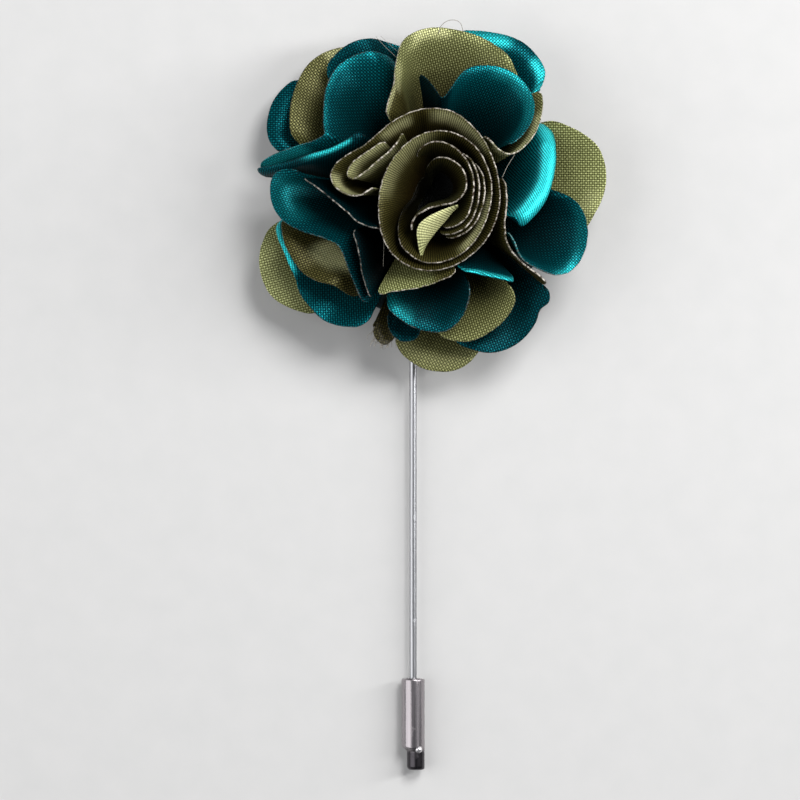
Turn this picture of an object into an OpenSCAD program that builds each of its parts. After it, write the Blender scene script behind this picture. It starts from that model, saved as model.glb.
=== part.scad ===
// Flower lapel pin: folded cloth petals round a wound rosette, on a stick pin with a pull-off cap.
// It lies on its back. +Z leaves the flower's face, -Y runs down the pin, and Z = 0 is the surface.

/* [Flower] */
// Radius that the spreads in the fold tables are shares of
flower_r = 22.5; // [20:0.5:26]
// Height of the dome that the rims lie on
dome_rise = 17; // [15:0.5:19]
// How hollow a petal is from its root to its rim
cup_bend = 1.15; // [1:0.05:1.3]
// Thickness of the petal cloth at the rim
cloth_t = 1; // [0.8:0.05:1.05]
// Thickness of the rosette's wound ribbon at the rim
ribbon_t = 0.5; // [0.35:0.05:0.6]
// Share of the thickness that is left where the folds are pressed together at the root
root_press = 0.55; // [0.4:0.05:0.6]

/* [Core and backing] */
// Radius of the sewn core under the rosette
core_top_r = 6.5; // [6:0.1:7]
// Radius of the sewn core at its foot
core_foot_r = 8.6; // [8:0.1:10]
// Height of the sewn core above its foot
core_rise = 9.8; // [9:0.1:11]
// Clearance between the core and the roots that are sewn to it
root_gap = 0.25; // [0.15:0.05:0.4]
// Radius of the felt backing
backing_r = 16; // [12:0.5:18]
// Thickness of the felt backing
backing_t = 1; // [1:0.1:2]

/* [Pin] */
// Diameter of the wire
wire_d = 0.95; // [0.8:0.05:1.1]
// Distance of the wire to the left of the flower's centre
wire_offset = 2.4; // [0:0.1:4]
// Distance from the flower's centre to the wire's point, along the pin
pin_reach = 70.6; // [60:0.2:80]
// Distance that the wire runs past the flower's centre, under the pad
wire_past = 2.5; // [1:0.25:4]
// Length of the wire's conical point
point_l = 8.2; // [6:0.1:9]
// Diameter at the very tip of the point
tip_d = 0.2; // [0.1:0.05:0.3]
// Radius of the pad that is soldered to the wire
pad_r = 4.5; // [3.5:0.1:5.5]
// Thickness of the pad
pad_t = 0.5; // [0.4:0.05:0.8]
// Width of the solder bar along the covered wire
bar_w = 1.3; // [1.15:0.05:2]
// How far the solder bar reaches past the edge of the backing
bar_past = 0.6; // [0.3:0.1:1.5]
// Clearance between stacked pieces under the flower
seat_gap = 0.1; // [0.05:0.05:0.2]

/* [Cap] */
// Diameter of the cap's tube
cap_d = 3; // [2.4:0.1:3.1]
// Length of the cap's tube
cap_l = 8.9; // [8:0.1:12]
// Radial running clearance of the wire in the cap
bore_gap = 0.05; // [0.02:0.01:0.09]
// Depth of the bore past the wire's point
bore_spare = 0.3; // [0.1:0.1:0.4]
// Thickness of the bore's closed end
bore_end_t = 0.5; // [0.3:0.1:1]
// Diameter of the grip at the cap's end
grip_d = 2.4; // [1.6:0.1:2.4]
// Length of the grip, with its shoulder
grip_l = 3.2; // [2:0.1:5]
// Length of the shoulder between the tube and the grip
shoulder_l = 0.8; // [0.4:0.1:1.2]
// Distance of the grip's axis to the right of the tube's axis
grip_shift = 0.4; // [0:0.05:0.4]
// Size of the edge break at the cap's mouth and at the grip's end
edge_break = 0.25; // [0.1:0.05:0.35]

/* [Hidden] */
$fn = 72;
folds_per_row = 2; // steps between two rows of a fold table
steps_up = 3; // steps from root to rim
ribbon_steps_up = 3;
foot_s = 1.22; // spread at which a petal lies flat
brow_s = 0.45; // spread at which the roots pass from the core's top to its side

wire_r = wire_d / 2;
pin_z = backing_t + seat_gap + wire_r;
base_z = pin_z + wire_r + pad_t + seat_gap;
foot_z = base_z + cloth_t / 2;
core_top_z = foot_z + core_rise;
bar_end = sqrt(backing_r * backing_r - wire_offset * wire_offset) + bar_past;
point_start = pin_reach - point_l;
cap_mouth = pin_reach + bore_spare + bore_end_t - cap_l;

// Fold tables. Each row is one fold line of a petal, from the core to the rim:
// turn, in degrees anticlockwise from +X; spread, the rim's place on the dome in flower radii;
// length, the share of the whole fold line that the cloth covers. A low length tucks the rim under.

upper_left_cup_folds = [
    [104, 0.99, 0.7], [108, 0.94, 0.84], [113, 0.91, 0.955], [119, 0.91, 0.99], [125, 0.905, 1],
    [130, 0.88, 1], [135, 0.84, 1], [140, 0.785, 1], [145, 0.73, 1], [150, 0.69, 1],
    [156, 0.74, 1], [160, 0.82, 1], [163, 0.91, 1], [166, 0.98, 1], [168.5, 1.03, 1],
];
upper_left_lip_folds = [
    [172.5, 1.02, 1], [171, 0.92, 1], [168, 0.81, 1], [164, 0.71, 1],
    [158, 0.61, 1], [149, 0.54, 1], [140, 0.52, 1],
];
upper_left_back_folds = [
    [96, 1.1, 0.62], [101, 1.09, 0.69], [106, 1.07, 0.78], [109, 1.05, 0.85], [113, 1.02, 0.925],
    [118, 1.01, 0.96], [123, 1.01, 0.95], [128, 1.01, 0.92], [133, 1.02, 0.82],
];
upper_left_olive_folds = [
    [116, 1.12, 0.75], [120, 1.12, 0.82], [125, 1.12, 0.865], [130, 1.12, 0.885], [135, 1.11, 0.89],
    [141, 1.08, 0.885], [147, 1.04, 0.88], [152, 1, 0.87], [156, 0.98, 0.84], [160, 0.98, 0.77],
];
left_teal_folds = [
    [137, 1.2, 0.77], [141, 1.18, 0.83], [146, 1.17, 0.86], [151, 1.15, 0.88], [156, 1.12, 0.885],
    [160, 1.09, 0.87], [164, 1.08, 0.82],
];

top_olive_folds = [
    [120, 0.52, 1], [114, 0.56, 1], [107, 0.65, 1], [103, 0.76, 1], [100, 0.87, 1],
    [95, 0.925, 1], [88, 0.945, 1], [79, 0.94, 1], [72, 0.935, 1], [66, 0.915, 1],
    [60, 0.9, 0.97], [54, 0.92, 0.84], [49, 0.93, 0.72],
];
top_cup_folds = [
    [96, 0.69, 1], [90, 0.6, 1], [84, 0.54, 1], [80, 0.6, 1], [76, 0.68, 1], [70, 0.75, 1],
    [62, 0.8, 1], [54, 0.82, 1], [46, 0.79, 1], [40, 0.72, 1], [36, 0.62, 1], [34, 0.53, 1],
];
top_inner_olive_folds = [
    [45, 0.87, 0.96], [42, 0.84, 0.99], [38, 0.785, 1], [33, 0.7, 1], [29, 0.62, 1], [26.5, 0.54, 1],
    [28, 0.485, 1], [34, 0.455, 1], [42, 0.448, 1], [48, 0.452, 0.97],
];
top_teal_folds = [
    [84, 1.05, 0.81], [79, 1.05, 0.865], [74, 1.05, 0.89], [69, 1.05, 0.91], [64, 1.05, 0.935],
    [59, 1.05, 0.94], [54, 1.04, 0.925], [49, 1.02, 0.91], [45, 1, 0.87],
];

right_teal_folds = [
    [40, 0.94, 0.74], [36, 0.89, 0.84], [31, 0.83, 0.93], [26, 0.785, 0.99], [20, 0.755, 1],
    [13, 0.715, 1], [6, 0.665, 1], [-2, 0.605, 1], [-9, 0.55, 1], [-15, 0.51, 1],
];
right_olive_folds = [
    [34, 0.98, 0.7], [30, 0.96, 0.79], [26, 0.96, 0.865], [21, 0.98, 0.935], [16, 1, 0.98],
    [10, 1.01, 0.99], [4, 1.01, 0.98], [-2, 1, 0.95], [-7, 0.99, 0.91], [-12, 1, 0.85], [-17, 1.02, 0.77],
];

lower_right_cup_folds = [
    [7, 0.86, 0.45], [4.5, 0.83, 0.58], [2, 0.81, 0.74], [-1.5, 0.81, 0.93], [-6, 0.85, 1],
    [-11, 0.895, 1], [-17, 0.92, 1], [-23, 0.92, 1], [-28, 0.89, 1], [-31, 0.83, 1],
    [-32, 0.75, 1], [-31.5, 0.66, 1], [-29, 0.58, 1], [-25, 0.52, 1],
];
lower_right_olive_folds = [
    [12, 0.418, 0.93], [-5, 0.42, 1], [-20, 0.432, 1], [-30, 0.475, 1], [-35.5, 0.54, 1],
    [-37.8, 0.62, 1], [-38, 0.7, 1], [-37.5, 0.78, 1], [-37.5, 0.85, 1],
];

bottom_cup_folds = [
    [246, 0.73, 0.88], [250, 0.72, 0.95], [255, 0.73, 0.99], [262, 0.76, 1], [269, 0.78, 1],
    [276, 0.78, 1], [282, 0.73, 1], [288, 0.65, 1], [292, 0.59, 1],
];
bottom_olive_folds = [
    [271, 0.88, 0.85], [276, 0.87, 0.92], [281, 0.87, 0.97], [286, 0.865, 1], [293, 0.85, 1],
    [300, 0.825, 1], [306, 0.785, 1], [310, 0.74, 1],
];
bottom_lip_folds = [
    [290, 0.46, 1], [297, 0.5, 1], [304, 0.56, 1], [310, 0.63, 1], [314, 0.7, 1],
];
bottom_teal_folds = [
    [321, 0.94, 0.94], [317, 0.95, 0.93], [313, 0.96, 0.905], [309, 0.98, 0.935], [304, 0.99, 0.965],
    [299, 0.99, 0.985], [293, 0.98, 0.99], [288, 0.97, 0.96], [283, 0.97, 0.88], [278, 0.99, 0.79],
];
bottom_back_folds = [
    [250, 0.87, 0.81], [254, 0.89, 0.88], [258, 0.9, 0.92], [262, 0.9, 0.9], [265, 0.9, 0.88],
];
bottom_disc_folds = [
    [255, 1.1, 0.7], [258.5, 1.09, 0.76], [262, 1.09, 0.81], [267, 1.09, 0.865], [272, 1.09, 0.89],
    [277, 1.09, 0.895], [282, 1.1, 0.85], [286, 1.12, 0.77], [290, 1.14, 0.7],
];
frayed_tip_folds = [
    [246, 0.99, 0.78], [249.5, 1, 0.83], [253, 1, 0.84], [256, 0.99, 0.75],
];
centre_olive_folds = [
    [241, 0.66, 1], [246, 0.61, 1], [253, 0.57, 1], [261, 0.54, 1], [270, 0.515, 1],
    [279, 0.49, 1], [287, 0.47, 1],
];

lower_left_cup_folds = [
    [175, 0.85, 0.98], [178, 0.905, 1], [182, 0.91, 1], [186, 0.895, 1], [190, 0.86, 1],
    [194, 0.79, 1], [199, 0.72, 1], [204, 0.65, 1], [209, 0.61, 1], [216, 0.615, 1],
    [225, 0.66, 1], [233, 0.71, 1], [240, 0.75, 1],
];
lower_left_lip_folds = [
    [175, 0.74, 1], [179, 0.65, 1], [186, 0.56, 1], [193, 0.49, 1], [201, 0.45, 1],
];
lower_left_ply_folds = [
    [206, 0.495, 1], [213, 0.51, 1], [220, 0.545, 1], [227, 0.592, 1], [234, 0.642, 1], [238.5, 0.68, 1],
    [240.5, 0.7, 0.93],
];
lower_left_olive_folds = [
    [187, 0.99, 0.82], [192, 0.95, 0.88], [198, 0.9, 0.97], [204, 0.875, 1], [211, 0.86, 1],
    [217, 0.82, 1], [223, 0.79, 0.94], [230, 0.81, 0.86], [236, 0.85, 0.78],
];
lower_left_teal_folds = [
    [188, 1.1, 0.72], [193, 1.05, 0.785], [198, 1, 0.85], [204, 0.975, 0.885], [211, 0.965, 0.915],
    [217, 0.98, 0.94], [223, 1, 0.92], [229, 1, 0.92], [235, 0.98, 0.905], [240, 0.95, 0.88],
    [243.5, 0.93, 0.85],
];
left_olive_folds = [
    [189, 1.2, 0.68], [193, 1.17, 0.765], [197, 1.14, 0.855], [202, 1.12, 0.93], [208, 1.13, 0.945],
    [213, 1.13, 0.935], [218, 1.12, 0.895], [223, 1.12, 0.825], [227, 1.14, 0.745],
];

// The rosette's ribbon, wound outwards from its inner end to the loop that it ends in.
rosette_folds = [
    [242, 0.25, 1], [236, 0.2, 1], [238, 0.14, 1], [262, 0.085, 1], [310, 0.085, 1], [342, 0.14, 1],
    [366, 0.185, 1], [392, 0.205, 1], [420, 0.205, 1], [450, 0.19, 0.97], [475, 0.195, 0.85],
    [500, 0.215, 0.65], [522, 0.235, 0.55], [545, 0.255, 0.6], [563, 0.275, 0.75], [580, 0.3, 0.92],
    [600, 0.34, 1], [622, 0.385, 1], [645, 0.385, 1], [668, 0.36, 1], [690, 0.335, 1],
    [715, 0.326, 1], [740, 0.332, 1], [765, 0.345, 1], [790, 0.35, 1], [812, 0.335, 1],
    [835, 0.305, 1], [858, 0.285, 1], [882, 0.28, 1], [905, 0.295, 1], [925, 0.325, 1],
    [945, 0.375, 1], [965, 0.42, 1], [985, 0.435, 1], [1005, 0.425, 1], [1025, 0.405, 1],
    [1047, 0.39, 1], [1070, 0.378, 1], [1092, 0.374, 1], [1115, 0.39, 1], [1136, 0.425, 1],
    [1156, 0.465, 1], [1175, 0.47, 1], [1195, 0.455, 1], [1212, 0.445, 1], [1226, 0.465, 1],
    [1236, 0.52, 1], [1244, 0.57, 1], [1251, 0.58, 1], [1257, 0.54, 1], [1261, 0.47, 1],
    [1261, 0.4, 1], [1256, 0.35, 1],
];
// Three short plies that lie between the ribbon's windings on the right.
rosette_ply_inner_folds = [
    [-72, 0.235, 0.7], [-55, 0.238, 0.88], [-37, 0.236, 1], [-18, 0.23, 1], [0, 0.229, 1], [28, 0.245, 1],
    [50, 0.265, 1], [68, 0.28, 1], [86, 0.285, 1], [100, 0.278, 0.88], [112, 0.262, 0.7],
];
rosette_ply_middle_folds = [
    [-78, 0.268, 0.7], [-62, 0.272, 0.88], [-45, 0.268, 1], [-22, 0.26, 1], [0, 0.261, 1],
    [22, 0.272, 1], [40, 0.288, 0.95], [56, 0.3, 0.75],
];
rosette_ply_outer_folds = [
    [-72, 0.305, 0.7], [-56, 0.3, 0.88], [-38, 0.294, 1], [-15, 0.292, 1], [5, 0.294, 1],
    [22, 0.302, 0.95], [38, 0.312, 0.75],
];
// The hairpin that lies in the ribbon's last loop.
rosette_hairpin_folds = [
    [116, 0.38, 1], [128, 0.345, 1], [140, 0.345, 1], [152, 0.37, 1], [161, 0.4, 1], [168, 0.44, 1],
    [169, 0.475, 1], [165, 0.49, 1], [158, 0.47, 1], [150, 0.435, 1], [141, 0.41, 1], [133, 0.395, 1],
];
// The fold that crosses the rosette's hollow.
rosette_blade_folds = [
    [-28, 0.165, 1], [-50, 0.16, 1], [-74, 0.19, 1], [-88, 0.235, 1], [-96, 0.29, 1], [-99, 0.345, 1],
];

function mix(a, b, t) = a + (b - a) * t;

function held(rows, i) = rows[min(max(i, 0), len(rows) - 1)];

// A smooth curve through the rows, as points between row b and row c.
function curve(a, b, c, d, t) =
    b + t * ((c - a) / 2 + t * (a - 2.5 * b + 2 * c - d / 2 + t * (1.5 * (b - c) + (d - a) / 2)));

function smooth(rows) = [
    for (i = [0 : len(rows) - 2], k = [0 : folds_per_row - 1])
        curve(held(rows, i - 1), rows[i], rows[i + 1], held(rows, i + 2), k / folds_per_row),
    held(rows, len(rows)),
];

function down_core(s) = (s - brow_s) / (foot_s - brow_s);
function root_r(s) = s < brow_s ? core_top_r * s / brow_s : mix(core_top_r, core_foot_r, down_core(s));
function root_z(s) = s < brow_s ? core_top_z : mix(core_top_z, foot_z, down_core(s));
function rim_z(s) = foot_z + dome_rise * (1 - pow(s / foot_s, 2));

// A point on the fold line of one row, at the share up of its way from root to rim.
function on_fold(fold, up) =
    let (
        spread = fold[1],
        way = up * fold[2],
        r = mix(root_r(spread), spread * flower_r, way),
        z = mix(root_z(spread), rim_z(spread), pow(way, cup_bend))
    )
    [r * cos(fold[0]), r * sin(fold[0]), z];

function unit(v) = v / norm(v);

function normal(grid, i, k) =
    let (
        along = held(grid, i + 1)[k] - held(grid, i - 1)[k],
        up = held(grid[i], k + 1) - held(grid[i], k - 1)
    )
    unit(cross(along, up));

// A wall of cloth through the fold lines of a table.
module cloth(rows, wall, steps) {
    folds = smooth(rows);
    grid = [for (fold = folds) [for (k = [0 : steps]) on_fold(fold, k / steps)]];
    last = len(folds) - 1;
    sheet = (last + 1) * (steps + 1);
    points = [
        for (side = [0.5, -0.5], i = [0 : last], k = [0 : steps])
            grid[i][k] + side * wall * mix(root_press, 1, k / steps) * normal(grid, i, k),
    ];
    at = function (side, i, k) side * sheet + i * (steps + 1) + k;
    across = [0 : last - 1];
    upward = [0 : steps - 1];
    quads = concat(
        [for (i = across, k = upward) [at(0, i, k), at(0, i, k + 1), at(0, i + 1, k + 1), at(0, i + 1, k)]],
        [for (i = across, k = upward) [at(1, i, k), at(1, i + 1, k), at(1, i + 1, k + 1), at(1, i, k + 1)]],
        [for (i = across) [at(0, i, 0), at(0, i + 1, 0), at(1, i + 1, 0), at(1, i, 0)]],
        [for (i = across) [at(0, i, steps), at(1, i, steps), at(1, i + 1, steps), at(0, i + 1, steps)]],
        [for (k = upward) [at(0, 0, k), at(1, 0, k), at(1, 0, k + 1), at(0, 0, k + 1)]],
        [for (k = upward) [at(0, last, k), at(0, last, k + 1), at(1, last, k + 1), at(1, last, k)]]
    );
    triangles = [for (q = quads, far = [1, 2]) [q[0], q[far], q[far + 1]]];
    polyhedron(points, triangles);
}

module petal(rows) {
    cloth(rows, cloth_t, steps_up);
}

module teal_petal(rows) {
    color("teal") petal(rows);
}

module olive_petal(rows) {
    color("darkkhaki") petal(rows);
}

// Puts a shape drawn along +Z onto the wire's axis, pointing down the pin from the flower's centre.
module down_pin(y) {
    translate([-wire_offset, -y, pin_z]) rotate([90, 0, 0]) children();
}

module stick_pin() {
    color("silver") union() {
        down_pin(-wire_past) cylinder(h = wire_past + point_start, r = wire_r);
        down_pin(point_start) cylinder(h = point_l, r1 = wire_r, r2 = tip_d / 2);
        translate([-wire_offset - bar_w / 2, -bar_end, pin_z - wire_r])
            cube([bar_w, bar_end + wire_past + bar_w / 2, wire_d + pad_t / 2]);
        translate([-wire_offset, 0, pin_z + wire_r]) cylinder(h = pad_t, r = pad_r);
    }
}

module pin_cap() {
    color("silver") down_pin(cap_mouth) difference() {
        union() {
            rotate_extrude() polygon([
                [0, 0], [cap_d / 2 - edge_break, 0], [cap_d / 2, edge_break],
                [cap_d / 2, cap_l - edge_break], [cap_d / 2 - edge_break, cap_l], [0, cap_l],
            ]);
            intersection() {
                translate([grip_shift, 0, cap_l - edge_break]) rotate_extrude() polygon([
                    [0, 0], [grip_d / 2 + shoulder_l, 0], [grip_d / 2, shoulder_l],
                    [grip_d / 2, grip_l - edge_break], [grip_d / 2 - 2 * edge_break, grip_l],
                    [0, grip_l],
                ]);
                cylinder(h = cap_l + grip_l, r = cap_d / 2);
            }
        }
        translate([0, 0, -1]) cylinder(h = 1 + pin_reach + bore_spare - cap_mouth, r = wire_r + bore_gap);
    }
}

module backing() {
    color("darkslategray") cylinder(h = backing_t, r = backing_r);
}

module core() {
    color("darkolivegreen") rotate_extrude() polygon([
        [0, base_z], [core_foot_r - root_gap, base_z], [core_foot_r - root_gap, foot_z],
        [core_top_r - root_gap, core_top_z - root_gap], [0, core_top_z - root_gap],
    ]);
}

module ribbon(rows) {
    color("darkkhaki") cloth(rows, ribbon_t, ribbon_steps_up);
}

module rosette() { ribbon(rosette_folds); }
module rosette_hairpin() { ribbon(rosette_hairpin_folds); }
module rosette_blade() { ribbon(rosette_blade_folds); }
module rosette_ply_inner() { ribbon(rosette_ply_inner_folds); }
module rosette_ply_middle() { ribbon(rosette_ply_middle_folds); }
module rosette_ply_outer() { ribbon(rosette_ply_outer_folds); }
module upper_left_cup() { teal_petal(upper_left_cup_folds); }
module upper_left_lip() { teal_petal(upper_left_lip_folds); }
module upper_left_back() { teal_petal(upper_left_back_folds); }
module upper_left_olive() { olive_petal(upper_left_olive_folds); }
module left_teal() { teal_petal(left_teal_folds); }
module top_olive() { olive_petal(top_olive_folds); }
module top_cup() { teal_petal(top_cup_folds); }
module top_inner_olive() { olive_petal(top_inner_olive_folds); }
module top_teal() { teal_petal(top_teal_folds); }
module right_teal() { teal_petal(right_teal_folds); }
module right_olive() { olive_petal(right_olive_folds); }
module lower_right_cup() { teal_petal(lower_right_cup_folds); }
module lower_right_olive() { olive_petal(lower_right_olive_folds); }
module bottom_cup() { teal_petal(bottom_cup_folds); }
module bottom_olive() { olive_petal(bottom_olive_folds); }
module bottom_lip() { teal_petal(bottom_lip_folds); }
module bottom_teal() { teal_petal(bottom_teal_folds); }
module bottom_back() { teal_petal(bottom_back_folds); }
module bottom_disc() { olive_petal(bottom_disc_folds); }
module frayed_tip() { olive_petal(frayed_tip_folds); }
module centre_olive() { olive_petal(centre_olive_folds); }
module lower_left_cup() { teal_petal(lower_left_cup_folds); }
module lower_left_lip() { teal_petal(lower_left_lip_folds); }
module lower_left_ply() { teal_petal(lower_left_ply_folds); }
module lower_left_olive() { olive_petal(lower_left_olive_folds); }
module lower_left_teal() { teal_petal(lower_left_teal_folds); }
module left_olive() { olive_petal(left_olive_folds); }

stick_pin();
pin_cap();
backing();
core();
rosette();
rosette_hairpin();
rosette_blade();
rosette_ply_inner();
rosette_ply_middle();
rosette_ply_outer();
upper_left_cup();
upper_left_lip();
upper_left_back();
upper_left_olive();
left_teal();
top_olive();
top_cup();
top_inner_olive();
top_teal();
right_teal();
right_olive();
lower_right_cup();
lower_right_olive();
bottom_cup();
bottom_olive();
bottom_lip();
bottom_teal();
bottom_back();
bottom_disc();
frayed_tip();
centre_olive();
lower_left_cup();
lower_left_lip();
lower_left_ply();
lower_left_olive();
lower_left_teal();
left_olive();
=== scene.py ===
"""Looks of the flower lapel pin: satin folds round a wound rosette, on a stick pin with a pull-off cap.

Lengths are in millimetres up to the meshes, which are made in metres.
"""
import math

import bpy
import numpy as np
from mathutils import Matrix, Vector


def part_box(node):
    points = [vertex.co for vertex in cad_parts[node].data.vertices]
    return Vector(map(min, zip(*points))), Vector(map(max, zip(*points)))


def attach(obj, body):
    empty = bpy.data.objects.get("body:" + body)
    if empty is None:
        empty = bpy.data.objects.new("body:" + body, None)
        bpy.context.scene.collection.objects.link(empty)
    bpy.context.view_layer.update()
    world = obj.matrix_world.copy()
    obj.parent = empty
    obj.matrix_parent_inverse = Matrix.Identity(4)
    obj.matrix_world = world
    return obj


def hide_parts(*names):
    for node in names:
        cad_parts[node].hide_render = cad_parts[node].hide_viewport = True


MM = 0.001

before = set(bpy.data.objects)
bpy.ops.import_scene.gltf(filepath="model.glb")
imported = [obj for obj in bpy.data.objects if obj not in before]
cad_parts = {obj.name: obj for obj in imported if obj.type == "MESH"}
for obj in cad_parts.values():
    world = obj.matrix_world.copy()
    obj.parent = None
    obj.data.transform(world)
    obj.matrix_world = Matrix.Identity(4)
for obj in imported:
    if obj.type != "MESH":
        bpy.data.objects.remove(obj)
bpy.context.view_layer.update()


def corners_mm(node):
    low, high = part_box(node)
    return np.array(low) / MM, np.array(high) / MM


core_low, core_high = corners_mm("core")
backing_high = corners_mm("backing")[1]
wire_low, wire_high = corners_mm("stick_pin")
cap_low, cap_high = corners_mm("pin_cap")

# The flower's dome, as in the part's source
FLOWER_R = 22.5
DOME_RISE = 17.0
CUP_BEND = 1.15
CLOTH_WALL = 1.0
RIBBON_WALL = 0.5
ROOT_PRESS = 0.55
FOOT_SPREAD = 1.22
BROW_SPREAD = 0.45
ROOT_GAP = 0.25
CORE_TOP_R = 6.5
CORE_FOOT_R = core_high[0] + ROOT_GAP
CORE_TOP_Z = core_high[2] + ROOT_GAP
FOOT_Z = core_low[2] + CLOTH_WALL / 2

# The real cloth, thinner than its solid, with its threads and ribs
CLOTH_T = 0.18
THREAD_PITCH = 0.31
RIB_PITCH = 0.31

# The bead along a singed rim: its height, how far in it lies, how far it spreads, how lumpy it is, and
# the number of mesh rows to a lump
BEAD, BEAD_IN, BEAD_SPREAD, LUMPY, LUMP_ROWS = 0.03, 0.09, 0.07, 0.6, 9

# Length of the waves of the cloth and of its ragged rims, and how far a singed rim is ragged
RIPPLE_WAVE, RAGGED_WAVE, RAGGED = 14.0, 1.6, 0.08

# Pleats at the root and the dish across a fold, as shares of its room in the solid's wall, and how much
# of that room is used
PLEAT, DISH, ROOM_USED = 0.6, 0.6, 0.7

# Share of the rim over which a roll begins and ends, how far that lies past the roll's reach, and the
# least bend, in radians, that is made
ROLL_EASE, ROLL_PAST, LEAST_BEND = 0.18, 0.04, 0.01

# Share of a painted highlight's turns that fades at each end, and how far the fade has come at the end
# itself
FADE, FADE_AT_END = 0.25, 0.3

# Mesh steps along the rims of folds and ribbons, and the points from the root up to the edge
CLOTH_STEP, RIBBON_STEP, POINTS_UP = 0.42, 0.3, 24

# The least side of a sheet's flat size, and the shares of that size between which its area lies
LEAST_FLAT = 10.0
AREA_SHARES = (0.301, 0.999)

# The pin
SEAT_GAP = 0.1
WIRE_D = 0.95
WIRE_X = -2.4
WIRE_Z = backing_high[2] + SEAT_GAP + WIRE_D / 2
POINT_L, TIP_R = 8.2, 0.1
PAD_R, PAD_T, PAD_BREAK = 4.5, 0.5, 0.12
BAR_W, BAR_PAST, BAR_FLAT = 1.3, 0.4, 0.5
CAP_TUBE_L = 8.9
CAP_R, BORE_R, CAP_BREAK = 1.5, 0.525, 0.25
GRIP_R, GRIP_SHIFT = 1.2, 0.4
SHOULDER_L = 0.8
STUD_X, STUD_R = 0.7, 0.5

# How sharp the join of the cap's tube and its grip is
GRIP_JOIN = 14.0

# Radius at which the weave keeps its size on an upright round piece
WEAVE_R = 7.0

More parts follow.
